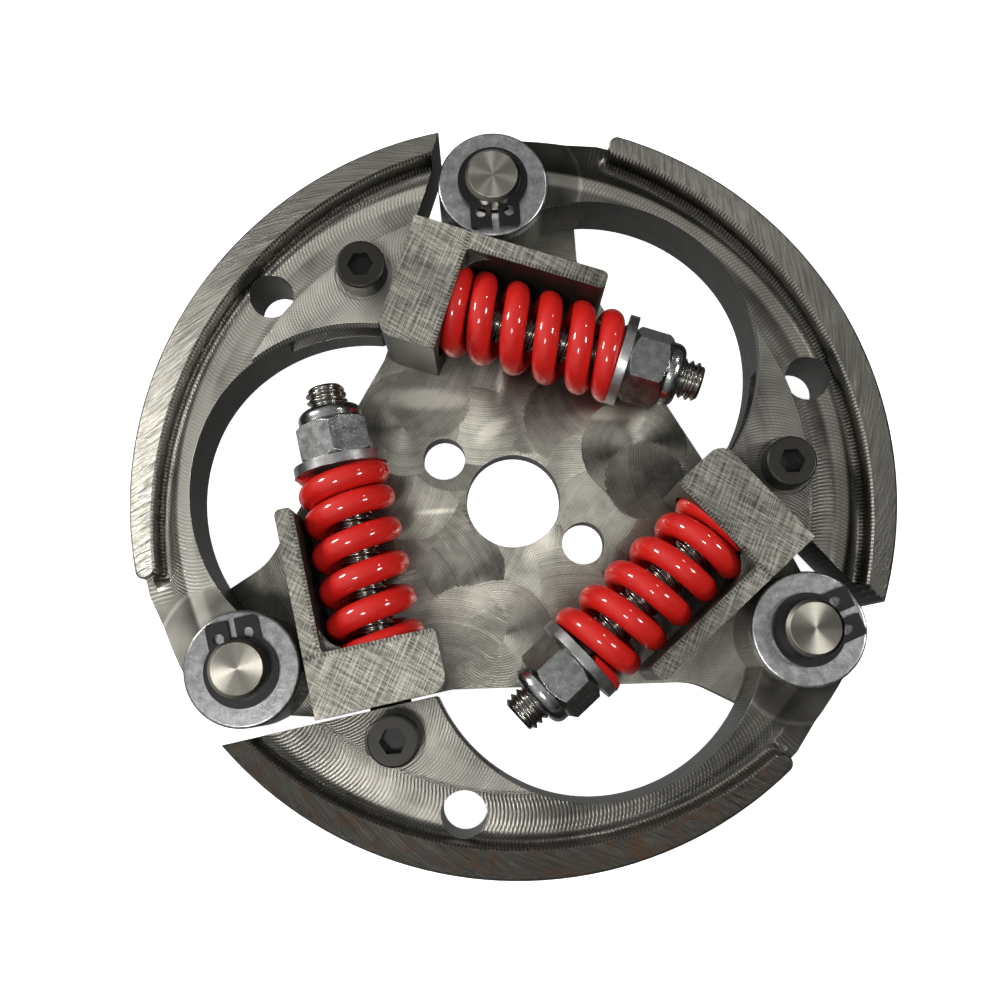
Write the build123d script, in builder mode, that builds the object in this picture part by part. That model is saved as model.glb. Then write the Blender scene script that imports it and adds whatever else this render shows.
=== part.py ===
from build123d import *
from math import asin, cos, degrees, radians, sin, sqrt, tan
import os

# A three-shoe centrifugal clutch with adjustable springs, in millimetres.
# The bore axis is Z and the back of the carrier plate is the plane Z = 0.
# One third of the clutch is described with its pivot on +Y. The other two
# thirds are the same pieces turned clockwise about the bore axis.

# Layout
unit_count = 3
unit_turn = -360 / unit_count
pivot_radius = 44.9          # bore axis to each pivot pin
rim_reach = 8.1              # pivot circle to the drum that the rims are turned to fit
rest_angle = 0.84            # how far the springs draw each shoe in from the drum

# Carrier plate
plate_thickness = 3.5
bore_radius = 7.0
bolt_circle_radius = 12.2
bolt_hole_radius = 3.15
bolt_angle = 144.5
lobe_radius = 7.8            # plate round each pivot pin
lobe_width = 12.5            # how far the lobe runs past the pin under the shoe
lobe_length = 9.4            # pin to the corner where the lobe meets the window
lobe_fillet = 9.0

# Spring block, one piece with the plate
stud_angle = -21.2           # direction of the stud seen from above
block_height = 14.5          # above the plate
block_thickness = 8.6        # along the stud
block_past_pivot = 8.96      # pivot to the block's outer face, along the stud
block_low_margin = 8.5       # stud axis to the block's inner side
block_corner_radius = 2.3
arm_thickness = 2.6
arm_length = 20.4            # past the spring face
arm_gap = 0.25               # spring to arm
arm_end_radius = 0.9
pocket_corner_radius = 4.0   # fill left in the corner of block and arm
corner_relief_depth = 2.0    # where the fill is cut away under the block's top
corner_relief_radius = 0.6
corner_spring_gap = 0.15     # spring to the fill, which is bored out round it
seat_depth = 1.0             # counterbore that holds the spring's end

# Stud, nut and spring
stud_inset = 18.36           # pivot to the stud axis, across the stud
stud_height = 7.3            # stud axis above the plate
stud_radius = 2.95
stud_clearance = 0.45        # in the block's hole
stud_proud = 3.2             # past the nut
stud_chamfer = 0.6
eye_radius = 4.4
eye_thickness = 3.8
eye_past_block = 4.9         # block's outer face to the eye
neck_sunk = 0.5              # how far the flat neck of the eye runs into the block
spring_radius = 6.8          # outside
wire_radius = 1.8
spring_inset = 18.7          # how much shorter the fitted spring is than the pivot circle's radius
spring_closed_turns = 1.0    # at each end
spring_open_turns = 4.1
spring_closed_play = 0.15    # between the turns that are closed up
spring_tip = 0.9             # wire left at the ground tips
spring_seat_play = 0.3       # spring to the wall of its counterbore
spring_washer_radius = 6.7
spring_washer_thickness = 1.4
nut_across_flats = 10.0
nut_hex_height = 5.9
nut_height = 8.0
collar_radius = 4.7
nut_face_radius = 4.7        # flat ring that the corners are chamfered down to
nut_corner_slope = 38
nut_thread_clearance = 0.03
insert_radius = 3.8
insert_height = 1.6
insert_recess = 0.3          # rim of the collar rolled over the insert
insert_lip = 0.5
collar_edge_radius = 1.5

# Shoe
shoe_clearance = 0.1         # under the shoe
shoe_floor_height = 10.4     # neck and channel, above the underside
web_height = 11.6            # raised web by the free end
rim_height = 15.4
rim_width_middle = 4.1
rim_width_ends = 2.65
rim_start_angle = 70.0       # seen from the bore, from the direction of +X
rim_middle_angle = 22.0
rim_fillet = 1.5             # foot of the rim
rim_nose_radius = 1.2        # rounded start of the rim, at both its corners
rim_nose_reach = 2.2         # how far past its start the nose is cleared to the channel's floor
rim_chamfer = 0.3
neck_recess = 0.7            # neck's outer edge inside the rim's face
neck_taper_start = 2.0       # angles past the rim's start where the edge leaves its circle
neck_taper_end = 7.0
channel_depth = 10.7         # rim face to the step between channel and web
web_start = 30.0             # nearest the web comes to the pivot
neck_inner = (6.6, -3.6)     # three points of the neck's inner edge, from the pivot
neck_middle = (12.5, -2.9)
neck_outer = (17.5, -3.5)
bend_depth = 7.5             # rim face to the inner wall at the bend
bend_angle = 43.5
elbow_depth = 10.4           # and at the elbow
elbow_angle = 30.3
end_gap = 0.4                # free end to the block
free_corner_offset = 6.5     # stud axis to the shoe's inner corner
free_corner_radius = 0.6
boss_radius = 8.0
drilled_hole_radius = 3.15
drilled_hole_depth = 7.4     # rim face to the hole's centre
drilled_hole_angle = 16.9
slot_height = 4.2
slot_cutter_radius = 11.3
slot_centre_ahead = 1.6      # cutter's centre from the eye, along the stud
slot_centre_in = 6.0         # and towards the bore
spotface_radius = 4.1
spotface_depth = 0.2

# Pivot pin, washer and circlip
pin_radius = 4.0
pin_length = 19.0
pin_chamfer = 0.5
pin_press_clearance = 0.01
pin_running_clearance = 0.05
washer_radius = 8.0
washer_hole_radius = 4.2
washer_thickness = 1.6
washer_edge_radius = 0.4
washer_play = 0.05
circlip_thickness = 0.8
circlip_play = 0.04
groove_depth = 0.2
circlip_clearance = 0.03
circlip_width_back = 1.5
circlip_width_gap = 1.0
circlip_gap = 1.0
lug_reach = 6.9              # pin axis to the ends of the lugs
lug_width = 3.1
lug_corner_radius = 0.6
lug_hole_radius = 0.75
lug_hole_distance = 5.0
lug_hole_angle = 24
circlip_gap_angles = (-90, 19, 100)

# Cap screw
screw_radius = 1.95
screw_clearance = 0.05
screw_thread_clearance = 0.02
screw_head_radius = 3.5
screw_head_height = 4.0
screw_head_edge = 0.4
socket_across_flats = 3.2
socket_depth = 2.2
screw_length = 10.5

# How each nut and each spring happens to stand, turned about its stud
nut_turns = (30, 0, 32)
spring_turns = (43, -36, -140)

# Heights and places worked out from the sizes above
drum_radius = pivot_radius + rim_reach
block_face = pivot_radius * sin(radians(-stud_angle)) + block_past_pivot
stud_offset = pivot_radius * cos(radians(stud_angle)) - stud_inset
eye_distance = block_face + eye_past_block
neck_end = block_face - neck_sunk
stud_z = plate_thickness + stud_height
shoe_bottom = plate_thickness + shoe_clearance
shoe_floor = shoe_bottom + shoe_floor_height
web_top = shoe_bottom + web_height
rim_top = shoe_bottom + rim_height
washer_bottom = shoe_floor + washer_play
washer_top = washer_bottom + washer_thickness
screw_seat = web_top - spotface_depth
spring_face = block_face - block_thickness
seat_face = spring_face + seat_depth
shoe_face = block_face + end_gap
arm_inner = stud_offset + spring_radius + arm_gap
arm_outer = arm_inner + arm_thickness
arm_end = arm_length - spring_face
block_inner = stud_offset - block_low_margin
spring_washer_at = pivot_radius - spring_inset - seat_face
nut_at = spring_washer_at + spring_washer_thickness
stud_end = nut_at + nut_height + stud_proud
thread_radius = stud_radius + nut_thread_clearance
groove_radius = pin_radius - groove_depth
pivot = Vector(0, pivot_radius)
rim_centre = pivot + Vector(0, -pivot_radius).rotate(Axis.Z, -rest_angle)


def in_unit(point, steps):
    """A plan point turned to the unit that many steps round."""
    return Vector(*point).rotate(Axis.Z, unit_turn * steps)


def along_stud(distance, offset, steps=0):
    """A plan point given along a stud and outward from the bore axis."""
    return Vector(distance, offset).rotate(Axis.Z, stud_angle + unit_turn * steps)


def from_rim(depth, angle):
    """A plan point that far inside the rim's face, at an angle about its centre."""
    return rim_centre + Vector(drum_radius - depth, 0).rotate(Axis.Z, angle)


def stud_plane(distance, steps=0):
    """The plane across a stud at a distance along it, facing the nut."""
    foot = along_stud(distance, stud_offset, steps)
    direction = along_stud(1, 0, steps)
    return Plane(origin=(foot.X, foot.Y, stud_z), x_dir=(0, 0, 1), z_dir=direction)


def nearest_corner(sketch, point):
    """The sketch's corner nearest to a plan point."""
    return sketch.vertices().sort_by_distance(point)[0]


def save(piece, name):
    """Label one finished piece and write it to its own file."""
    piece.label = name
    export_step(piece, f"parts/{name}.step")


def save_each(piece, name, turn=0):
    """Write one copy of a piece for each shoe, turned about the bore axis."""
    for number in range(unit_count):
        copy = piece.rotate(Axis.Z, unit_turn * (number + turn))
        save(copy, f"{name}_{number + 1}")


os.makedirs("parts", exist_ok=True)

pins = [in_unit(pivot, step) for step in range(unit_count)]
stud_axis = Axis(stud_plane(0).origin, along_stud(1, 0))
screw_place = along_stud(-eye_distance, stud_offset, steps=1)

# Carrier plate with its three spring blocks, milled from one piece
lobe_corner = pivot + Vector(lobe_width, -lobe_length)
plate_corners = []
for step in range(unit_count):
    plate_corners += [
        along_stud(-block_face, block_inner, step),
        along_stud(-block_face, arm_outer, step),
        in_unit(pivot - Vector(lobe_radius, 0), step),
        in_unit(pivot, step),
        in_unit(pivot + Vector(lobe_width, 0), step),
        in_unit(lobe_corner, step),
    ]

with BuildPart() as carrier:
    with BuildSketch() as plate:
        Polygon(*plate_corners, align=None)
        for step in range(unit_count):
            fillet(nearest_corner(plate, in_unit(lobe_corner, step)), lobe_fillet)
        with Locations(*pins):
            Circle(lobe_radius)
            Circle(pin_radius + pin_press_clearance, mode=Mode.SUBTRACT)
        Circle(bore_radius, mode=Mode.SUBTRACT)
        with PolarLocations(bolt_circle_radius, 2, start_angle=bolt_angle):
            Circle(bolt_hole_radius, mode=Mode.SUBTRACT)
    extrude(amount=plate_thickness)

    for step in range(unit_count):
        block_corner = along_stud(-block_face, block_inner, step)
        arm_corners = [along_stud(arm_end, side, step) for side in (arm_outer, arm_inner)]
        with BuildSketch(Plane.XY.offset(plate_thickness)) as block:
            Polygon(
                block_corner,
                along_stud(-block_face, arm_outer, step),
                *arm_corners,
                along_stud(-spring_face, arm_inner, step),
                along_stud(-spring_face, block_inner, step),
                align=None,
            )
            fillet(nearest_corner(block, block_corner), block_corner_radius)
            for corner in arm_corners:
                fillet(nearest_corner(block, corner), arm_end_radius)
            pocket_corner = along_stud(-spring_face, arm_inner, step)
            fillet(nearest_corner(block, pocket_corner), pocket_corner_radius)
        extrude(amount=block_height)
        with BuildSketch(Plane.XY.offset(plate_thickness + block_height)) as corner_relief:
            Polygon(
                pocket_corner,
                along_stud(pocket_corner_radius - spring_face, arm_inner, step),
                along_stud(pocket_corner_radius - spring_face, arm_inner - pocket_corner_radius, step),
                along_stud(-spring_face, arm_inner - pocket_corner_radius, step),
                align=None,
            )
            fillet(nearest_corner(corner_relief, pocket_corner), corner_relief_radius)
        extrude(amount=-corner_relief_depth, mode=Mode.SUBTRACT)
        with BuildSketch(stud_plane(-spring_face, step)):
            Circle(spring_radius + corner_spring_gap)
        extrude(amount=pocket_corner_radius, mode=Mode.SUBTRACT)
        with BuildSketch(stud_plane(-spring_face, step)):
            Circle(spring_radius + spring_seat_play)
        extrude(amount=-seat_depth, mode=Mode.SUBTRACT)
        with BuildSketch(stud_plane(-spring_face, step)):
            Circle(stud_radius + stud_clearance)
        extrude(amount=-block_thickness, mode=Mode.SUBTRACT)
save(carrier.part, "carrier_plate")

# Shoe outline, with the tip where the rim's circle meets the end face
free_corner = along_stud(-shoe_face, stud_offset - free_corner_offset, steps=1)
face_direction = along_stud(0, 1, steps=1)
face_offset = free_corner - rim_centre
face_run = face_offset.dot(face_direction)
tip_run = sqrt(face_run**2 - face_offset.length**2 + drum_radius**2) - face_run
tip = free_corner + face_direction * tip_run
rim_end_angle = 2 * rim_middle_angle - rim_start_angle

with BuildPart() as shoe:
    with BuildSketch(Plane.XY.offset(shoe_bottom)) as outline:
        with BuildLine():
            neck = ThreePointArc(
                pivot + Vector(*neck_inner),
                pivot + Vector(*neck_middle),
                pivot + Vector(*neck_outer),
            )
            bend = TangentArc(neck @ 1, from_rim(bend_depth, bend_angle), tangent=neck % 1)
            elbow = TangentArc(bend @ 1, from_rim(elbow_depth, elbow_angle), tangent=bend % 1)
            TangentArc(elbow @ 1, free_corner, tangent=elbow % 1)
            Line(free_corner, tip)
            rim_side = ThreePointArc(
                tip,
                from_rim(0, rim_middle_angle),
                from_rim(0, rim_start_angle + neck_taper_start),
            )
            neck_side = ThreePointArc(
                from_rim(neck_recess, rim_start_angle + neck_taper_end),
                from_rim(neck_recess, (rim_start_angle + neck_taper_end + 90) / 2),
                from_rim(neck_recess, 90),
            )
            Line(rim_side @ 1, neck_side @ 0)
            Polyline(neck_side @ 1, pivot, neck @ 0)
        make_face()
        fillet(nearest_corner(outline, free_corner), free_corner_radius)
        with Locations(pivot):
            Circle(boss_radius)
    extrude(amount=shoe_floor_height)

    # Raised web between the channel and the inner wall at the free end
    with BuildSketch(Plane.XY.offset(shoe_bottom)):
        add(outline.sketch_local)
        with Locations(rim_centre):
            Circle(drum_radius - channel_depth, mode=Mode.INTERSECT)
        with Locations(pivot):
            Circle(web_start, mode=Mode.SUBTRACT)
    extrude(amount=web_height)

    # Rim, thickest in its middle, with a rounded foot along the channel
    with BuildSketch(Plane.XY.offset(shoe_bottom)) as rim:
        with BuildLine():
            face = ThreePointArc(
                from_rim(0, rim_start_angle),
                from_rim(0, rim_middle_angle),
                from_rim(0, rim_end_angle),
            )
            wall = ThreePointArc(
                from_rim(rim_width_ends, rim_start_angle),
                from_rim(rim_width_middle, rim_middle_angle),
                from_rim(rim_width_ends, rim_end_angle),
            )
            Line(face @ 0, wall @ 0)
            Line(face @ 1, wall @ 1)
        make_face()
        fillet(nearest_corner(rim, from_rim(rim_width_ends, rim_start_angle)), rim_nose_radius)
        add(outline.sketch_local, mode=Mode.INTERSECT)
    extrude(amount=rim_height)
    fillet(edges(Select.NEW).filter_by_position(Axis.Z, shoe_floor, shoe_floor), rim_fillet)

    # Outer corner of the rim's start, rounded down to the channel's floor
    nose_angle = rim_start_angle - degrees(asin(rim_nose_radius / (drum_radius - rim_nose_radius)))
    nose_centre = from_rim(rim_nose_radius, nose_angle)
    past_start = Vector(0, 1).rotate(Axis.Z, rim_start_angle)
    with BuildSketch(Plane.XY.offset(shoe_floor)):
        Polygon(
            nose_centre,
            from_rim(-rim_nose_radius, nose_angle),
            from_rim(-rim_nose_radius, rim_start_angle) + past_start * rim_nose_reach,
            nose_centre + past_start * (rim_nose_radius + rim_nose_reach),
            align=None,
        )
        with Locations(nose_centre):
            Circle(rim_nose_radius, mode=Mode.SUBTRACT)
    extrude(amount=rim_height, mode=Mode.SUBTRACT)
    rim_edges = edges().filter_by_position(Axis.Z, rim_top, rim_top).filter_by(GeomType.CIRCLE)
    chamfer(rim_edges.sort_by(SortBy.RADIUS)[-1], rim_chamfer)

    # Pivot bore, the drilled hole beside the rim, and the screw's hole and seat
    with BuildSketch(Plane.XY.offset(shoe_bottom)):
        with Locations(pivot):
            Circle(pin_radius + pin_running_clearance)
        with Locations(from_rim(drilled_hole_depth, drilled_hole_angle)):
            Circle(drilled_hole_radius)
        with Locations(screw_place):
            Circle(screw_radius + screw_thread_clearance)
    extrude(amount=rim_height, mode=Mode.SUBTRACT)
    with BuildSketch(Plane.XY.offset(stud_z)):
        with Locations(screw_place):
            Circle(screw_radius + screw_clearance)
    extrude(amount=rim_height, mode=Mode.SUBTRACT)
    with BuildSketch(Plane.XY.offset(screw_seat)):
        with Locations(screw_place):
            Circle(spotface_radius)
    extrude(amount=rim_height, mode=Mode.SUBTRACT)

    # Slot for the stud's eye, cut from the inner wall by a round cutter
    slot_centre = along_stud(
        slot_centre_ahead - eye_distance, stud_offset - slot_centre_in, steps=1
    )
    with BuildSketch(Plane.XY.offset(stud_z)):
        with Locations(slot_centre):
            Circle(slot_cutter_radius)
    extrude(amount=slot_height / 2, both=True, mode=Mode.SUBTRACT)
save_each(shoe.part, "shoe")

# Pivot pin, pressed into the plate, with a groove for its circlip
with BuildPart() as pivot_pin:
    with Locations((pivot.X, pivot.Y, 0)):
        Cylinder(pin_radius, pin_length, align=(Align.CENTER, Align.CENTER, Align.MIN))
    chamfer(edges().sort_by(Axis.Z)[-1], pin_chamfer)
    with BuildSketch(Plane.XY.offset(washer_top)):
        with Locations(pivot):
            Circle(pin_radius)
            Circle(groove_radius, mode=Mode.SUBTRACT)
    extrude(amount=circlip_thickness + 2 * circlip_play, mode=Mode.SUBTRACT)
save_each(pivot_pin.part, "pivot_pin")

# Washer between the shoe's boss and the circlip
with BuildPart() as pivot_washer:
    with BuildSketch(Plane.XY.offset(washer_bottom)):
        with Locations(pivot):
            Circle(washer_radius)
            Circle(washer_hole_radius, mode=Mode.SUBTRACT)
    extrude(amount=washer_thickness)
    fillet(edges().group_by(Axis.Z)[-1], washer_edge_radius)
save_each(pivot_washer.part, "pivot_washer")

# Circlip, each with its gap where it happened to be fitted
inner_radius = groove_radius + circlip_clearance
outer_radius = inner_radius + (circlip_width_back + circlip_width_gap) / 2
ring_shift = (circlip_width_back - circlip_width_gap) / 2
for number, pin in enumerate(pins):
    circlip_plane = Plane(
        origin=(pin.X, pin.Y, washer_top + circlip_play),
        x_dir=Vector(1, 0).rotate(Axis.Z, circlip_gap_angles[number]),
        z_dir=(0, 0, 1),
    )
    with BuildPart() as circlip:
        with BuildSketch(circlip_plane) as ring:
            with Locations((lug_reach / 2, 0)):
                Rectangle(lug_reach, circlip_gap + 2 * lug_width)
            fillet(ring.vertices().group_by(Axis.X)[-1], lug_corner_radius)
            with Locations((-ring_shift, 0)):
                Circle(outer_radius)
            Circle(inner_radius, mode=Mode.SUBTRACT)
            with Locations((lug_reach / 2, 0)):
                Rectangle(lug_reach, circlip_gap, mode=Mode.SUBTRACT)
            with PolarLocations(
                lug_hole_distance, 2, start_angle=-lug_hole_angle, angular_range=4 * lug_hole_angle
            ):
                Circle(lug_hole_radius, mode=Mode.SUBTRACT)
        extrude(amount=circlip_thickness)
    save(circlip.part, f"circlip_{number + 1}")

# Socket-head cap screw that holds the stud's eye in the shoe
with BuildPart() as cap_screw:
    with BuildSketch(Plane.XY.offset(screw_seat)):
        with Locations(screw_place):
            Circle(screw_head_radius)
    extrude(amount=screw_head_height)
    fillet(edges().group_by(Axis.Z)[-1], screw_head_edge)
    with BuildSketch(Plane.XY.offset(screw_seat)):
        with Locations(screw_place):
            Circle(screw_radius)
    extrude(amount=-screw_length)
    with BuildSketch(Plane.XY.offset(screw_seat + screw_head_height)):
        with Locations(screw_place):
            RegularPolygon(socket_across_flats / 2, 6, major_radius=False)
    extrude(amount=-socket_depth, mode=Mode.SUBTRACT)
save_each(cap_screw.part, "cap_screw")

# Stud with a flat eye at one end, a bar flattened as far as the block
eye_place = along_stud(-eye_distance, stud_offset)
with BuildPart() as eye_stud:
    with BuildSketch(stud_plane(-eye_distance)):
        Circle(stud_radius)
        Rectangle(eye_thickness, 2 * stud_radius, mode=Mode.INTERSECT)
    extrude(amount=eye_distance - neck_end)
    with BuildSketch(Plane.XY.offset(stud_z)):
        with Locations(eye_place):
            Circle(eye_radius)
    extrude(amount=eye_thickness / 2, both=True)
    with BuildSketch(Plane.XY.offset(stud_z)):
        with Locations(eye_place):
            Circle(screw_radius + pin_running_clearance)
    extrude(amount=eye_thickness, both=True, mode=Mode.SUBTRACT)
    with BuildSketch(stud_plane(-neck_end)):
        Circle(stud_radius)
    extrude(amount=neck_end + stud_end)
    chamfer(faces().sort_by_distance(stud_plane(stud_end).origin)[0].edges(), stud_chamfer)

# Compression spring with closed ends ground flat, seated in the block's counterbore
coil_radius = spring_radius - wire_radius
closed_pitch = 2 * wire_radius + spring_closed_play
closed_length = closed_pitch * spring_closed_turns
coil_start = -seat_face - wire_radius + spring_tip
coil_end = spring_washer_at + wire_radius - spring_tip
open_length = coil_end - coil_start - 2 * closed_length
open_angle = -360 * spring_closed_turns
end_angle = open_angle - 360 * spring_open_turns
stretches = (
    (coil_start, closed_length, closed_pitch, 0),
    (coil_start + closed_length, open_length, open_length / spring_open_turns, open_angle),
    (coil_end - closed_length, closed_length, closed_pitch, end_angle),
)
with BuildPart() as spring:
    for start, length, pitch, angle in stretches:
        with BuildLine() as coil:
            Helix(
                pitch,
                length,
                coil_radius,
                center=stud_plane(start).origin,
                direction=along_stud(1, 0),
            )
        turn = coil.line.rotate(stud_axis, -angle)
        with BuildSketch(Plane(origin=turn @ 0, z_dir=turn % 0)):
            Circle(wire_radius)
        sweep(path=turn, is_frenet=True)
    for end, side in ((-seat_face, Keep.TOP), (spring_washer_at, Keep.BOTTOM)):
        split(bisect_by=stud_plane(end), keep=side)

# Flat washer between the spring and the nut
with BuildPart() as spring_washer:
    with BuildSketch(stud_plane(spring_washer_at)):
        Circle(spring_washer_radius)
        Circle(thread_radius, mode=Mode.SUBTRACT)
    extrude(amount=spring_washer_thickness)

# Lock nut: hexagon with chamfered corners, and a collar that holds the insert
hex_edge = nut_across_flats / sqrt(3)
corner_run = (hex_edge - nut_face_radius) * tan(radians(nut_corner_slope))
insert_start = nut_height - insert_recess - insert_height
section_plane = Plane(stud_plane(nut_at).origin, x_dir=along_stud(1, 0), z_dir=(0, 0, 1))
with BuildPart() as lock_nut:
    with BuildSketch(stud_plane(nut_at)):
        RegularPolygon(nut_across_flats / 2, 6, major_radius=False)
    extrude(amount=nut_hex_height)
    with BuildSketch(section_plane):
        Polygon(
            (0, 0),
            (0, nut_face_radius),
            (corner_run, hex_edge),
            (nut_hex_height - corner_run, hex_edge),
            (nut_hex_height, nut_face_radius),
            (nut_hex_height, 0),
            align=None,
        )
    revolve(axis=stud_axis, mode=Mode.INTERSECT)
    with BuildSketch(stud_plane(nut_at)):
        Circle(collar_radius)
    extrude(amount=nut_height)
    collar_end = faces().sort_by_distance(stud_plane(nut_at + nut_height).origin)[0]
    fillet(collar_end.edges(), collar_edge_radius)
    with BuildSketch(section_plane):
        Polygon(
            (0, 0),
            (0, thread_radius),
            (insert_start, thread_radius),
            (insert_start, insert_radius),
            (nut_height - insert_recess, insert_radius),
            (nut_height - insert_recess, insert_radius - insert_lip),
            (nut_height, insert_radius - insert_lip),
            (nut_height, 0),
            align=None,
        )
    revolve(axis=stud_axis, mode=Mode.SUBTRACT)

# Nylon ring inside the nut's collar
with BuildPart() as nylon_insert:
    with BuildSketch(stud_plane(nut_at + insert_start)):
        Circle(insert_radius)
        Circle(thread_radius, mode=Mode.SUBTRACT)
    extrude(amount=insert_height)

save_each(eye_stud.part, "eye_stud", turn=1)
save_each(spring_washer.part, "spring_washer", turn=1)
save_each(nylon_insert.part, "nylon_insert", turn=1)
for number in range(unit_count):
    to_unit = unit_turn * (number + 1)
    turned_nut = lock_nut.part.rotate(stud_axis, nut_turns[number])
    save(turned_nut.rotate(Axis.Z, to_unit), f"lock_nut_{number + 1}")
    turned_spring = spring.part.rotate(stud_axis, spring_turns[number])
    save(turned_spring.rotate(Axis.Z, to_unit), f"spring_{number + 1}")
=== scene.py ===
"""A three-shoe centrifugal clutch: its finishes, springs and threads, lit in a studio."""
import logging
from dataclasses import dataclass
from enum import Enum
from math import cos, pi, radians, sin, tau
from typing import Sequence, Union

import bpy
import numpy as np
from mathutils import Matrix, Vector


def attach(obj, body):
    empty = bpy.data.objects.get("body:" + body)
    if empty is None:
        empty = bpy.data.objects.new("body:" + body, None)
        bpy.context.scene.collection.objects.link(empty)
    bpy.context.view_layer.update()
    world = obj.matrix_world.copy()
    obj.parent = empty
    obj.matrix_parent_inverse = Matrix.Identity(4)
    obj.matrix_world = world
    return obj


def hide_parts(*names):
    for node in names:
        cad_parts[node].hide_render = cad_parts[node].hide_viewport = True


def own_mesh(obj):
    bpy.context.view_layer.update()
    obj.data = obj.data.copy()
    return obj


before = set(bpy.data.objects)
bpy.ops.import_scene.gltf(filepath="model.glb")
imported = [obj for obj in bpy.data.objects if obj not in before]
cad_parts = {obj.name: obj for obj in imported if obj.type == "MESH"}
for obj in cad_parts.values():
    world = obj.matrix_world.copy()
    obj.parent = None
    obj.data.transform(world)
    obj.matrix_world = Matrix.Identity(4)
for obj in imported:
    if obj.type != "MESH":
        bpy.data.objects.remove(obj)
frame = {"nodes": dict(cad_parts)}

log = logging.getLogger("clutch")

MM = 0.001
UNIT_COUNT = 3
UNIT_TURN = -tau / UNIT_COUNT
STUD_ANGLE = radians(-21.2)
STUD_OFFSET = 23.5
STUD_Z = 10.8
PIVOT_RADIUS = 44.9
REST_ANGLE = radians(0.84)
BLOCK_TOP = 18.0
CHANNEL_TOP = 14.0
WEB_TOP = 15.2
RIM_TOP = 19.0
DRUM_RADIUS = 53.0
EDGE_ROUNDING = 0.12

Colour = tuple[float, float, float]
Point = tuple[float, float, float]
Number = Union[float, "Wire"]


def turned(x: float, y: float, angle: float) -> tuple[float, float]:
    """A plan point turned about the bore axis.

    Args:
        x: place along X.
        y: place along Y.
        angle: turn in radians, anticlockwise seen from above.

    Returns:
        The turned point, (x cos a - y sin a, x sin a + y cos a).
    """
    return x * cos(angle) - y * sin(angle), x * sin(angle) + y * cos(angle)


class Wire:
    """A number or a vector on its way through the nodes of a finish."""

    def __init__(self, graph: "Formulas", socket: bpy.types.NodeSocket) -> None:
        """Keep the socket that the value comes out of."""
        self.graph = graph
        self.socket = socket

    def __add__(self, other: Number) -> "Wire":
        """Sum."""
        return self.graph.math("ADD", self, other)

    def __radd__(self, other: Number) -> "Wire":
        """Sum with a plain number first."""
        return self.graph.math("ADD", other, self)

    def __sub__(self, other: Number) -> "Wire":
        """Difference."""
        return self.graph.math("SUBTRACT", self, other)

    def __rsub__(self, other: Number) -> "Wire":
        """Difference with a plain number first."""
        return self.graph.math("SUBTRACT", other, self)

    def __mul__(self, other: Number) -> "Wire":
        """Product."""
        return self.graph.math("MULTIPLY", self, other)

    def __rmul__(self, other: Number) -> "Wire":
        """Product with a plain number first."""
        return self.graph.math("MULTIPLY", other, self)

    def __truediv__(self, other: Number) -> "Wire":
        """Quotient."""
        return self.graph.math("DIVIDE", self, other)

    def part(self, axis: str) -> "Wire":
        """One component of a vector: X, Y or Z."""
        node = self.graph.node("ShaderNodeSeparateXYZ", {0: self})
        return Wire(self.graph, node.outputs[axis])


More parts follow.
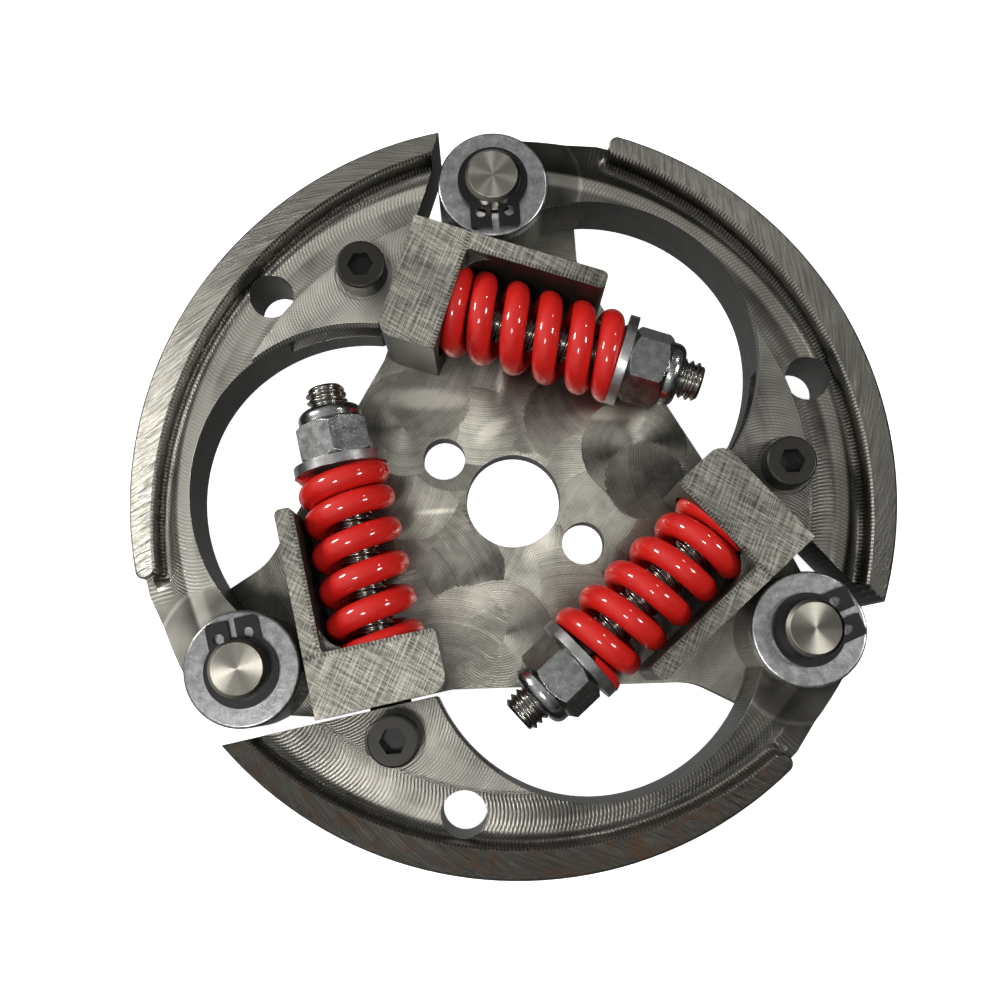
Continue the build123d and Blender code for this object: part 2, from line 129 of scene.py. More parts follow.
class Formulas:
    """A node tree written as formulas."""

    def __init__(self, tree: bpy.types.NodeTree) -> None:
        """Clear a tree to write in."""
        self.tree = tree
        tree.nodes.clear()

    def node(self, kind: str, inputs: dict, **settings: object) -> bpy.types.Node:
        """Add a node.

        Args:
            kind: the node's type.
            inputs: a value or a wire for each input, by name or number.
            settings: the node's own options.

        Returns:
            The new node.
        """
        node = self.tree.nodes.new(kind)
        for option, value in settings.items():
            setattr(node, option, value)
        for key, value in inputs.items():
            if isinstance(value, Wire):
                self.tree.links.new(value.socket, node.inputs[key])
            else:
                node.inputs[key].default_value = value
        return node

    def math(self, operation: str, first: Number, second: Number = 0.0, third: Number = 0.0) -> Wire:
        """One step of arithmetic on numbers."""
        inputs = {0: first, 1: second, 2: third}
        return Wire(self, self.node("ShaderNodeMath", inputs, operation=operation).outputs[0])

    def vector(self, x: Number, y: Number, z: Number = 0.0) -> Wire:
        """A vector from its three components."""
        return Wire(self, self.node("ShaderNodeCombineXYZ", {0: x, 1: y, 2: z}).outputs[0])

    def pointwise(self, operation: str, first: object, second: object) -> Wire:
        """One step of arithmetic on vectors."""
        node = self.node("ShaderNodeVectorMath", {0: first, 1: second}, operation=operation)
        return Wire(self, node.outputs[0])

    def length(self, vector: Wire) -> Wire:
        """A vector's length."""
        node = self.node("ShaderNodeVectorMath", {0: vector}, operation="LENGTH")
        return Wire(self, node.outputs["Value"])

    def distance(self, first: Wire, second: object) -> Wire:
        """Distance between two points."""
        node = self.node("ShaderNodeVectorMath", {0: first, 1: second}, operation="DISTANCE")
        return Wire(self, node.outputs["Value"])

    def spun(self, vector: Wire, angle: Number) -> Wire:
        """A vector turned about Z.

        Args:
            vector: the vector.
            angle: the turn in radians, anticlockwise seen from above.

        Returns:
            The turned vector.
        """
        inputs = {"Vector": vector, "Angle": angle}
        node = self.node("ShaderNodeVectorRotate", inputs, rotation_type="Z_AXIS")
        return Wire(self, node.outputs[0])

    def ramp(self, value: Number, low: float, high: float, start: float = 0.0, end: float = 1.0) -> Wire:
        """A smooth step.

        Args:
            value: the number that the step follows.
            low: where the step starts.
            high: where it ends.
            start: the result at low and beyond.
            end: the result at high and beyond.

        Returns:
            The step's height.
        """
        inputs = {"Value": value, "From Min": low, "From Max": high, "To Min": start, "To Max": end}
        node = self.node("ShaderNodeMapRange", inputs, interpolation_type="SMOOTHSTEP")
        return Wire(self, node.outputs["Result"])

    def noise(self, where: Wire, scale: float, detail: float = 2.0, rough: float = 0.5) -> Wire:
        """Cloudy noise from 0 to 1, with scale features to a mm."""
        inputs = {"Vector": where, "Scale": scale, "Detail": detail, "Roughness": rough}
        return Wire(self, self.node("ShaderNodeTexNoise", inputs).outputs["Fac"])

    def wave(self, value: Wire) -> Wire:
        """A sine wave from 0 to 1 of a value counted in waves."""
        return self.math("SINE", value * tau) * 0.5 + 0.5

    def mix(self, factor: Number, first: Number, second: Number) -> Wire:
        """A number between two.

        Args:
            factor: how far from the first to the second.
            first: the number at factor 0.
            second: the number at factor 1.

        Returns:
            The number between them.
        """
        inputs = {0: factor, 2: first, 3: second}
        node = self.node("ShaderNodeMix", inputs, data_type="FLOAT")
        return Wire(self, node.outputs[0])

    def mix_vector(self, factor: Number, first: Wire, second: Wire) -> Wire:
        """A vector between two.

        Args:
            factor: how far from the first to the second.
            first: the vector at factor 0.
            second: the vector at factor 1.

        Returns:
            The vector between them.
        """
        inputs = {0: factor, 4: first, 5: second}
        node = self.node("ShaderNodeMix", inputs, data_type="VECTOR")
        return Wire(self, node.outputs[1])

    def tint(self, factor: Number, first: object, second: object, blend: str = "MIX") -> Wire:
        """A colour between two, or the two blended.

        Args:
            factor: how far from the first to the second, or how strong the blend is.
            first: a colour or a wire.
            second: a colour or a wire.
            blend: the way they're blended.

        Returns:
            The new colour.
        """
        paints = [value if isinstance(value, Wire) else (*value, 1.0) for value in (first, second)]
        inputs = {0: factor, 6: paints[0], 7: paints[1]}
        node = self.node("ShaderNodeMix", inputs, data_type="RGBA", blend_type=blend)
        return Wire(self, node.outputs[2])

    def grey(self, value: Number, colour: Colour) -> Wire:
        """A colour made lighter or darker by a number."""
        return self.tint(1.0, colour, self.vector(value, value, value), "MULTIPLY")


class Graph(Formulas):
    """The node tree of one finish, which ends in one shader."""

    def __init__(self, name: str) -> None:
        """Start the tree with its shader and the object's own coordinates in mm.

        Args:
            name: the material's name.
        """
        self.material = bpy.data.materials.new(name)
        self.material.use_nodes = True
        super().__init__(self.material.node_tree)
        self.output = self.tree.nodes.new("ShaderNodeOutputMaterial")
        self.shader = self.tree.nodes.new("ShaderNodeBsdfPrincipled")
        self.tree.links.new(self.shader.outputs["BSDF"], self.output.inputs["Surface"])
        coordinates = self.tree.nodes.new("ShaderNodeTexCoord")
        self.normal = Wire(self, coordinates.outputs["Normal"])
        self.metres = Wire(self, coordinates.outputs["Object"])
        self.place = self.mapped(0.0)

    def mapped(self, angle: float, shift: Sequence[float] = (0, 0, 0)) -> Wire:
        """Object coordinates in mm.

        Args:
            angle: turn about Z, in radians.
            shift: shift that follows the turn, in mm.

        Returns:
            The turned and shifted place.
        """
        inputs = {"Vector": self.metres, "Location": shift, "Rotation": (0, 0, angle)}
        inputs["Scale"] = (1 / MM, 1 / MM, 1 / MM)
        return Wire(self, self.node("ShaderNodeMapping", inputs).outputs[0])

    def set(self, **values: object) -> None:
        """Set or link the shader's inputs.

        Args:
            values: a value or a wire for each input, named with underscores for spaces.
        """
        for key, value in values.items():
            socket = self.shader.inputs[key.replace("_", " ")]
            if isinstance(value, Wire):
                self.tree.links.new(value.socket, socket)
            else:
                socket.default_value = value

    def relief(self, height: Wire, depth: float, rounding: float = 0.0) -> None:
        """Bump on softly rounded edges.

        Args:
            height: the surface's height, from 0 to 1.
            depth: what 1 stands for, in mm.
            rounding: radius of the edges in mm, or 0 to leave them sharp.
        """
        inputs = {"Height": height, "Distance": depth * MM, "Strength": 1.0}
        if rounding:
            edge = self.node("ShaderNodeBevel", {"Radius": rounding * MM}, samples=4)
            inputs["Normal"] = Wire(self, edge.outputs[0])
        self.set(Normal=Wire(self, self.node("ShaderNodeBump", inputs).outputs[0]))

    def openness_for_painted_shade(self, reach: float) -> Wire:
        """1 in the open, towards 0 where pieces within reach, in mm, stand close; used to paint shade.
        """
        node = self.node("ShaderNodeAmbientOcclusion", {"Distance": reach * MM}, samples=4)
        return Wire(self, node.outputs["AO"])

    def facing_up(self) -> Wire:
        """1 on faces that look up, 0 on walls."""
        return self.ramp(self.normal.part("Z"), 0.6, 0.85)


@dataclass(frozen=True)
class Finish:
    """A surface finish, made once for each place that it needs."""

    slot: str

    def paint(self, graph: Graph) -> None:
        """Fill the finish's nodes.

        Args:
            graph: the finish's empty tree.
        """
        raise NotImplementedError

    def dress(self, piece: bpy.types.Object) -> None:
        """Give a piece this finish.

        Args:
            piece: a new piece or one of the frame's nodes, whose mesh is left as it is.
        """
        graph = Graph(f"{self.slot}_{piece.name}")
        self.paint(graph)
        if piece.data.materials:
            for place in range(len(piece.data.materials)):
                piece.material_slots[place].link = "OBJECT"
                piece.material_slots[place].material = graph.material
        else:
            piece.data.materials.append(graph.material)
        log.info("%s: %s", piece.name, self.slot)


@dataclass(frozen=True)
class Swirl:
    """One round sweep of the face mill: its middle in a unit, its reach and its edge's blur."""

    x: float
    y: float
    reach: float
    centre_x: float
    centre_y: float
    blur: float = 1.2


@dataclass(frozen=True)
class PaintedGlint:
    """A painted highlight where the plate's marks would catch the light: place, half sizes, angle,
    strength.
    """

    x: float
    y: float
    half_length: float
    half_width: float
    angle: float
    strength: float


@dataclass(frozen=True)
class PaintedFan:
    """A painted highlight fan on a sweep: its turn, the squared cosine at its edge, and its strength."""

    turn: float
    edge: float
    strength: float


@dataclass(frozen=True)
class GroundLines:
    """Lines of grinding: their angle, how many to a mm across and along, and their share."""

    angle: float
    across: float
    along: float
    share: float

    def stretched(self, graph: Graph) -> Wire:
        """Each place counted in lines across and along the grinding."""
        seen = graph.spun(graph.place, self.angle)
        return graph.vector(seen.part("X") * self.across, seen.part("Y") * self.along)


@dataclass(frozen=True)
class SweepMarks:
    """Marks of a sweep: rings, where they cross other rings, and fine and coarse lines."""

    rings: Wire
    weave: Wire
    fine: Wire
    coarse: Wire


@dataclass(frozen=True)
class MilledPlate(Finish):
    """Face-milled plate with overlapping cutter sweeps, and cross-ground block tops."""

    steel: Colour = (0.45, 0.435, 0.375)
    # painted shade: darkened steel that stands for shade on the walls
    painted_shade_steel: Colour = (0.055, 0.053, 0.046)
    pitch: float = 0.36
    groove_depth: float = 0.022
    weave_pitch: float = 0.414
    weave_centre: Point = (31.0, 27.0, 0.0)
    least_fan: float = 0.1
    glint_gain: float = 2.8
    shade_reach: float = 9.0
    spring_face: float = 16.6
    block_inner: float = 14.0
    arm_inner: float = 30.55
    arm_end: float = 3.8
    comb_pitch: float = 0.5
    # faces looking down are painted this many times lighter than the shaded walls
    underside: float = 5.0
    brightest: float = 2.1
    block_shade: float = 0.24
    hatch_gain: float = 1.45
    # painted shade: how much darker each arm is painted
    arm_painted_shade: tuple[float, ...] = (0.5, 0.6, 0.15)
    # painted highlight: fans of light about every sweep
    painted_fans: tuple[PaintedFan, ...] = (PaintedFan(1.08, 0.33, 1.15), PaintedFan(2.43, 0.21, 0.6))
    grinding: tuple[GroundLines, ...] = (
        GroundLines(0.45, 5.0, 0.14, 0.5),
        GroundLines(-0.95, 4.4, 0.12, 0.4),
        GroundLines(1.9, 3.2, 0.2, 0.2),
    )
    scratches: GroundLines = GroundLines(-1.15, 1.3, 0.05, 0.6)
    swirls: tuple[Swirl, ...] = (
        Swirl(4.0, 22.0, 15.0, 4.0, 2.0, 2.5),
        Swirl(24.0, 0.0, 12.0, 8.0, -14.0, 2.0),
        Swirl(10.0, 12.0, 7.5, 20.0, 20.0, 1.6),
        Swirl(-8.0, 10.0, 8.0, 8.0, 14.0, 2.0),
        Swirl(12.5, -2.0, 6.0, 22.0, -10.0, 0.5),
        Swirl(18.8, 6.8, 8.0, 18.8, 6.8, 0.9),
        Swirl(-11.5, 16.4, 6.0, -20.0, 26.0, 1.5),
    )
    # painted highlights on the plate
    glints: tuple[PaintedGlint, ...] = (
        PaintedGlint(-12.4, 16.6, 6.5, 1.8, -0.1, 0.9),
        PaintedGlint(-0.3, 18.8, 3.6, 0.9, 1.35, 0.8),
        PaintedGlint(15.5, 12.6, 5.0, 1.3, -0.05, 0.9),
        PaintedGlint(19.5, 11.0, 2.2, 1.2, 0.9, 0.6),
        PaintedGlint(-6.0, -14.0, 3.0, 2.6, 0.5, 0.4),
        PaintedGlint(3.8, -6.8, 3.5, 2.0, 0.8, 0.5),
        PaintedGlint(-2.5, 11.0, 3.5, 1.2, 0.6, 0.5),
        PaintedGlint(-11.6, -0.8, 3.4, 0.5, 0.0, 0.5),
    )

    def sweeps(self, graph: Graph) -> tuple[Wire, Wire]:
        """The sweep that crossed each place last.

        Args:
            graph: the finish's nodes.

        Returns:
            The vector from the middle of that sweep, and a number of its own for the sweep.
        """
        flat = graph.pointwise("MULTIPLY", graph.place, (1, 1, 0))
        pivot = graph.vector(0.0, 0.0)
        grain = graph.noise(graph.place, 2.6, 2.0) - 0.5
        for swirl in self.swirls:
            shift = grain * swirl.blur
            for unit in range(UNIT_COUNT):
                angle = UNIT_TURN * unit
                middle = (*turned(swirl.x, swirl.y, angle), 0)
                centre = (*turned(swirl.centre_x, swirl.centre_y, angle), 0)
                away = graph.distance(flat, middle) + shift
                inside = graph.ramp(away, swirl.reach + 0.02, swirl.reach - 0.02, 0.0, 1.0)
                pivot = graph.mix_vector(inside, pivot, centre)
        arm = graph.pointwise("SUBTRACT", flat, pivot)
        return arm, pivot.part("X") * 0.37 + pivot.part("Y") * 0.73

    def painted_glints(self, graph: Graph) -> Wire:
        """Painted highlights where the marks would catch the light.

        Args:
            graph: the finish's nodes.

        Returns:
            The sum of soft ovals, each strongest in its middle and 0 outside.
        """
        total: Number = 0.0
        for glint in self.glints:
            shape = {"Vector": graph.place, "Location": (glint.x, glint.y, 0)}
            shape["Rotation"] = (0, 0, glint.angle)
            shape["Scale"] = (glint.half_length, glint.half_width, 1000.0)
            oval = Wire(graph, graph.node("ShaderNodeMapping", shape, vector_type="TEXTURE").outputs[0])
            total = total + graph.ramp(graph.length(oval), 1.3, 0.1) * glint.strength
        return total

    def painted_fan_light(self, graph: Graph, arm: Wire, away: Wire) -> Wire:
        """Painted highlight fans of each sweep, light and dark, two to a turn about its centre.

        Args:
            graph: the finish's nodes.
            arm: vector from the sweep's middle.
            away: its length.

        Returns:
            How light the painted fans make the steel.
        """
        total: Number = self.least_fan
        for painted_fan in self.painted_fans:
            towards = (arm.part("X") * cos(painted_fan.turn) + arm.part("Y") * sin(painted_fan.turn)) / away
            total = total + graph.ramp(towards * towards, painted_fan.edge, 1.0) * painted_fan.strength
        return total

    def sweep_marks(self, graph: Graph, away: Wire, tag: Wire) -> SweepMarks:
        """Marks round the middle of the last sweep.

        Args:
            graph: the finish's nodes.
            away: distance from the sweep's middle.
            tag: the sweep's own number.

        Returns:
            The marks: rings a pitch apart, where they cross those about weave_centre, and
            lines at the same distances.
        """
        jitter = graph.noise(graph.place, 1.1, 3.0)
        rings = graph.wave(away / self.pitch + tag * 3.0 + jitter * 0.8)
        around = graph.distance(graph.place, self.weave_centre)
        weave = rings * graph.wave(around / self.weave_pitch + jitter * 0.8)
        fine = graph.noise(graph.vector(away * 3.6, tag * 50.0), 1.0, 3.0, 0.75)
        coarse = graph.noise(graph.vector(away * 1.1, tag * 50.0), 1.0, 2.0, 0.6)
        return SweepMarks(rings, weave, fine, coarse)

    def plate_light(self, graph: Graph, marks: SweepMarks, painted_fan: Wire) -> Wire:
        """How light the plate's floor is.

        Args:
            graph: the finish's nodes.
            marks: the cutter's marks there.
            painted_fan: how light the painted highlight fans make it.

        Returns:
            The light: clouds, painted highlight fans and painted glints times the marks, with
            stains, and painted shade near higher pieces.
        """
        spread = graph.ramp(graph.noise(graph.place, 0.2, 3.0, 0.6), 0.34, 0.68, 0.16, 0.62)
        stain = graph.ramp(graph.noise(graph.place, 0.9, 5.0, 0.75), 0.5, 0.8, 1.0, 0.75)
        texture = 0.1 + marks.rings * 0.16 + marks.weave * 0.28 + marks.fine * 0.7
        texture = texture + marks.coarse * 0.5
        # painted highlights: the fans and glints lighten the plate's colour
        light = (spread + painted_fan + self.painted_glints(graph) * self.glint_gain) * texture * stain
        light = graph.math("MINIMUM", light, self.brightest)
        # painted shade: the plate darker where higher pieces stand close
        return light * graph.ramp(graph.openness_for_painted_shade(self.shade_reach), 0.35, 0.95, 0.3, 1.0)

    def hatch(self, graph: Graph) -> Wire:
        """Fine crossed lines of the blocks' grinding, in clouds.

        Args:
            graph: the finish's nodes.

        Returns:
            How strong the lines are, each direction by its share.
        """
        crossed: Number = 0.0
        for lines in self.grinding:
            grain = graph.noise(lines.stretched(graph), 1.0, 2.0, 0.6)
            crossed = crossed + graph.ramp(grain, 0.4, 0.66) * lines.share
        return crossed * (0.6 + graph.noise(graph.place, 0.25, 2.0) * 0.6)

    def block_light(self, graph: Graph, hatch: Wire) -> Wire:
        """How light the tops of the blocks and arms are.

        Args:
            graph: the finish's nodes.
            hatch: the grinding's lines.

        Returns:
            The light: lines and a few long bright scratches, with ticks, and brushed arms with painted
                shade.
        """
        grain = graph.noise(self.scratches.stretched(graph), 1.0, 3.0, 0.8)
        scratch = graph.ramp(grain, 0.64, 0.72)
        light = self.block_shade + hatch * self.hatch_gain + scratch * self.scratches.share
        ticks, dark = self.comb(graph)
        return light * (1.0 - dark) * (1.0 - ticks * 0.7)

    def paint(self, graph: Graph) -> None:
        """Rings about each sweep's centre with painted highlight fans and glints, hatch on the blocks,
        walls painted dark as shade.

        Args:
            graph: the finish's empty tree.
        """
        arm, tag = self.sweeps(graph)
        away = graph.length(arm)
        marks = self.sweep_marks(graph, away, tag)
        painted_fan = self.painted_fan_light(graph, arm, away)
        on_block = graph.ramp(graph.place.part("Z"), BLOCK_TOP - 0.15, BLOCK_TOP - 0.05)
        up = graph.facing_up()
        hatch = self.hatch(graph)

        plate_light = self.plate_light(graph, marks, painted_fan)
        light = graph.mix(on_block, plate_light, self.block_light(graph, hatch))
        # painted shade: walls darker than the steel, faces looking down less so
        under = graph.ramp(graph.normal.part("Z"), -0.6, -0.85, 1.0, self.underside)
        side = graph.grey((0.7 + graph.noise(graph.place, 0.5, 3.0) * 0.6) * under, self.painted_shade_steel)
        metallic = graph.mix(up, 0.5, graph.mix(on_block, 1.0, 0.85))
        top = graph.grey(light, self.steel)
        graph.set(Base_Color=graph.tint(up, side, top), Metallic=metallic, Anisotropic=0.8)
        rough = graph.mix(on_block, 0.3 + marks.fine * 0.14, 0.5 + hatch * 0.1)
        graph.set(Roughness=graph.mix(up, 0.42, rough))
        across = graph.vector(arm.part("Y") * -1.0, arm.part("X"))
        graph.set(Tangent=graph.pointwise("NORMALIZE", across, (0, 0, 0)))
        floor_relief = marks.rings * 0.35 + marks.weave * 0.25 + marks.fine * 0.4
        relief = graph.mix(up, 0.5, graph.mix(on_block, floor_relief, hatch))
        graph.relief(relief, self.groove_depth, EDGE_ROUNDING)

    def comb(self, graph: Graph) -> tuple[Wire, Wire]:
        """Cutter marks that end at the pockets' edges, and painted shade on the brushed arms.

        Args:
            graph: the finish's nodes.

        Returns:
            Ticks along the edges of block and arm beside the spring, and the painted shade of each
            arm, darker towards its far end and mottled by the slanted brushing.
        """
        ticks: Number = 0.0
        dark: Number = 0.0
        for unit, strength in enumerate(self.arm_painted_shade):
            seen = graph.spun(graph.place, -STUD_ANGLE - UNIT_TURN * unit)
            along, across = seen.part("X"), seen.part("Y")
            at_face = graph.ramp(graph.math("ABSOLUTE", along + self.spring_face + 0.3), 0.4, 0.2)
            at_face = at_face * graph.ramp(across, self.block_inner, self.block_inner + 1.0)
            at_arm = graph.ramp(graph.math("ABSOLUTE", across - self.arm_inner - 0.3), 0.4, 0.2)
            on_arm = graph.ramp(along, -self.spring_face, 0.5 - self.spring_face)
            on_arm = on_arm * graph.ramp(along, self.arm_end + 0.5, self.arm_end)
            ticks = ticks + graph.wave(across / self.comb_pitch) * at_face
            ticks = ticks + graph.wave(along / self.comb_pitch) * at_arm * on_arm
            far = graph.ramp(across, self.arm_inner - 0.2, self.arm_inner) * on_arm
            brushed = graph.noise(graph.vector((along + across) * 2.2, along - across), 1.0, 2.0)
            fade = graph.ramp(along, -self.spring_face + 3.0, -3.0) * far
            # painted shade: darker towards the arm's far end, mottled by the brushing
            dark = dark + fade * (0.7 + brushed * 0.6) * strength
        return ticks, dark


@dataclass(frozen=True)
class RimPlace:
    """A place on a shoe seen from the middle of its rim, in mm and radians."""

    local: Wire
    x: Wire
    y: Wire
    away: Wire
    angle: Wire
    along: Wire
    height: Wire


@dataclass(frozen=True)
class CutterMarks:
    """Marks on a shoe's floors: arcs, where they cross, fine lines, slant, and the bare neck."""

    arcs: Wire
    crossing: Wire
    fine: Wire
    slant: Wire
    neck: Wire


@dataclass(frozen=True)
class MilledShoe(Finish):
    """Shoe with cutter arcs along its channel and web, and a brushed rim.

    The brushing crosses the rim at an angle from the radius that falls from the free end to
    the rim's start: its tangents are brush_end and brush_start. The channel's edge, the
    painted highlight ribbon and the foot's painted shade band are placed by how far in from
    the drum they lie.
    """

    number: int = 1
    # painted light: each shoe's rim lighter or darker at its start and end, and its floors
    rim_painted_light_start: float = 1.0
    rim_painted_light_end: float = 1.0
    floor_painted_light: float = 1.0
    painted_ribbon: float = 0.5
    foot_painted_shade: float = 0.25
    wall_painted_shade: float = 1.0
    scribing: float = 0.0
    stain: float = 0.2
    steel: Colour = (0.43, 0.415, 0.365)
    # painted shade: darkened steel that stands for shade on the walls
    painted_shade_steel: Colour = (0.10, 0.098, 0.088)
    rust: Colour = (0.075, 0.047, 0.03)
    # painted highlight: colour of the cutter's ribs where they catch the light
    rib_painted_highlight: Colour = (0.62, 0.6, 0.54)
    rim_middle: float = 51.0
    channel_middle: float = 45.0
    channel_cutter: float = 5.2
    web_middle: float = 35.5
    web_cutter: float = 9.0
    pitch: float = 0.53
    groove_depth: float = 0.028
    scribe_pitch: float = 1.05
    tick_pitch: float = 0.46
    ribbon_start: float = 7.6
    ribbon_full: float = 6.7
    foot_start: float = 5.6
    foot_full: float = 4.9
    channel_edge: float = 10.2
    neck_angle: float = radians(72)
    painted_rim_light_angles: tuple[float, float] = (radians(5), radians(65))
    brush_angles: tuple[float, float] = (radians(20), radians(66))
    neck_start: float = 57.2
    neck_bow: float = 0.06
    floor_gain: float = 1.35
    shade_reach: float = 5.0
    brightest: float = 2.1
    brush_end: float = 2.25
    brush_start: float = 0.4

    def seen(self, graph: Graph, turn: float) -> RimPlace:
        """Each place seen from the middle of the rim.

        Args:
            graph: the finish's nodes.
            turn: what turns this shoe to the first one's place, in radians.

        Returns:
            The place. At rest the rim's middle lies off the bore axis, because the shoe is
            drawn in about its pivot.
        """
        drawn_in = (PIVOT_RADIUS * sin(REST_ANGLE), PIVOT_RADIUS * (cos(REST_ANGLE) - 1), 0)
        local = graph.mapped(turn, drawn_in)
        x, y = local.part("X"), local.part("Y")
        away = graph.length(graph.vector(x, y))
        angle = graph.math("ARCTAN2", y, x)
        return RimPlace(local, x, y, away, angle, angle * self.channel_middle, local.part("Z"))

    def arcs(self, graph: Graph, away: Wire, middle: float, cutter: float) -> tuple[Wire, Wire]:
        """Marks of a round cutter that ran along a circle.

        Args:
            graph: the finish's nodes.
            away: distance from the rim's centre.
            middle: radius of the path.
            cutter: radius of the cutter.

        Returns:
            How far the marks lag behind the cutter's front, the root of
            cutter^2 - (away - middle)^2, and the marks' slant against the radius.
        """
        edge = cutter * 0.93
        aside = graph.math("MINIMUM", graph.math("MAXIMUM", away - middle, -edge), edge)
        depth = graph.math("SQRT", cutter**2 - aside * aside)
        return depth, aside / depth

    def cutter_marks(self, graph: Graph, at: RimPlace) -> CutterMarks:
        """Arcs across the channel and the web, none on the neck.

        Args:
            graph: the finish's nodes.
            at: the place on the shoe.

        Returns:
            The marks.
        """
        edge = DRUM_RADIUS - self.channel_edge
        in_channel = graph.ramp(at.away, edge - 1.0, edge)
        channel = self.arcs(graph, at.away, self.channel_middle, self.channel_cutter)
        web = self.arcs(graph, at.away, self.web_middle, self.web_cutter)
        depth, slant = (graph.mix(in_channel, on_web, below) for on_web, below in zip(web, channel))
        jitter = graph.noise(at.local, 0.9, 3.0) * 0.3
        count = (at.along - depth) / self.pitch + jitter
        neck = graph.ramp(at.angle, self.neck_angle, self.neck_angle + radians(3))
        arcs = graph.wave(count) * (1.0 - neck)
        crossing = arcs * graph.wave((at.along + depth) / self.pitch + jitter)
        fine = graph.noise(graph.vector(count * 2.2, 0.0), 1.0, 3.0, 0.7)
        return CutterMarks(arcs, crossing, fine, slant, neck)

    def brushing(self, graph: Graph, at: RimPlace) -> tuple[Wire, Wire, Wire]:
        """Slanted lines across the rim's top.

        Args:
            graph: the finish's nodes.
            at: the place on the shoe.

        Returns:
            Soft lines, thin scribed lines, and the tangent of the lines' angle from the radius.
        """
        slant = graph.ramp(at.angle, *self.brush_angles, self.brush_end, self.brush_start)
        across = at.angle * self.rim_middle - (at.away - self.rim_middle) * slant
        soft = graph.noise(graph.vector(across * 2.6, at.away * 0.25), 1.0, 3.0, 0.75)
        wander = graph.noise(at.local, 0.5, 2.0)
        scribed = graph.ramp(graph.wave(across / self.scribe_pitch + wander * 0.8), 0.9, 0.99)
        return graph.ramp(soft, 0.36, 0.66), scribed, slant

    def floor_light(self, graph: Graph, at: RimPlace, marks: CutterMarks, cloud: Wire) -> Wire:
        """How light the floors are.

        Args:
            graph: the finish's nodes.
            at: the place on the shoe.
            marks: the cutter's marks there.
            cloud: slow change along the shoe.

        Returns:
            The light: marks and clouds, a painted highlight ribbon beside the foot of the rim, a
            painted shade band under it, and painted shade near higher pieces, all times the shoe's
            painted floor light.
        """
        on_foot = graph.ramp(at.away, DRUM_RADIUS - self.foot_start, DRUM_RADIUS - self.foot_full)
        # painted highlight: a bright ribbon beside the foot of the rim
        painted_ribbon = graph.ramp(at.away, DRUM_RADIUS - self.ribbon_start, DRUM_RADIUS - self.ribbon_full)
        painted_ribbon = painted_ribbon * (1.0 - on_foot)
        # painted shade: the foot of the rim darker, as a band
        painted_foot_band = graph.mix(on_foot, 1.0, self.foot_painted_shade)
        texture = 0.4 + marks.arcs * 0.2 + marks.crossing * 0.35 + marks.fine * 0.45
        texture = graph.mix(marks.neck, texture, 0.35 + cloud * 0.6)
        aside = at.away - self.channel_middle
        last_mark = graph.math("ABSOLUTE", at.along - self.neck_start - aside * aside * self.neck_bow)
        texture = texture + graph.ramp(last_mark, 0.5, 0.1) * 0.5
        light = (0.55 + (cloud - 0.5) * 1.1 + painted_ribbon * self.painted_ribbon) * texture
        # painted shade: the floors darker where higher pieces stand close
        painted_crevice_shade = graph.ramp(graph.openness_for_painted_shade(self.shade_reach), 0.3, 0.9, 0.4, 1.0)
        # painted light and shade: the foot band, the crevices and each shoe's floor light
        light = light * painted_foot_band * painted_crevice_shade * (self.floor_painted_light * self.floor_gain)
        return graph.math("MINIMUM", light, self.brightest)

    def walls(self, graph: Graph, at: RimPlace) -> tuple[Wire, Wire]:
        """The shoe's sides, painted dark as shade: ribs left by the cutter with painted highlights,
        grime, and the turned outer face.

        Args:
            graph: the finish's nodes.
            at: the place on the shoe.

        Returns:
            Their colour and the height of their marks.
        """
        ticks = graph.ramp(graph.wave(at.along / self.tick_pitch), 0.45, 0.8)
        foot = graph.ramp(at.height, CHANNEL_TOP + 0.05, CHANNEL_TOP + 0.4)
        foot = foot * graph.ramp(at.height, CHANNEL_TOP + 2.2, CHANNEL_TOP + 1.2)
        lip = graph.ramp(at.height, RIM_TOP - 1.2, RIM_TOP - 0.8)
        rope = graph.ramp(at.height, CHANNEL_TOP - 0.8, CHANNEL_TOP - 0.4)
        rope = rope * graph.ramp(at.away, DRUM_RADIUS - 9.0, DRUM_RADIUS - 10.0)
        inner_side = graph.ramp(at.away, DRUM_RADIUS - 0.5, DRUM_RADIUS - 1.0)
        # real cutter ribs, lightened as painted highlights
        ribs_with_painted_highlight = ticks * inner_side * graph.math("MINIMUM", foot * 0.6 + lip + rope, 1.0)
        grime = graph.noise(at.local, 0.4, 3.0)
        # painted shade: the walls darkened steel, lighter or darker by shoe
        wall = graph.grey((0.6 + grime * 0.8) * self.wall_painted_shade, self.painted_shade_steel)
        side = graph.tint(ribs_with_painted_highlight * 0.8, wall, self.rib_painted_highlight)
        outer = graph.ramp(at.away, DRUM_RADIUS - 0.45, DRUM_RADIUS - 0.25)
        outer = outer * graph.ramp(at.height, RIM_TOP - 0.3, RIM_TOP - 0.4)
        turned_lines = graph.noise(graph.vector(at.height * 5.0, at.angle * 0.8), 1.0, 3.0, 0.75)
        lighter_face = graph.grey(0.45 + turned_lines * 0.6 + grime * 0.3, self.steel)
        return graph.tint(outer, side, lighter_face), graph.mix(outer, ticks * inner_side, turned_lines)

    def stained(self, graph: Graph, at: RimPlace, on_rim: Wire, top: Wire) -> Wire:
        """The rim's top with rust in speckles.

        Args:
            graph: the finish's nodes.
            at: the place on the shoe.
            on_rim: 1 on the rim's top.
            top: the colour of the clean steel.

        Returns:
            The stained colour.
        """
        speckle = graph.noise(at.local, 0.4, 5.0, 0.7)
        spots = graph.ramp(speckle, 0.62 - self.stain * 0.3, 0.78 - self.stain * 0.2) * on_rim
        return graph.tint(spots * (0.25 + self.stain), top, self.rust)

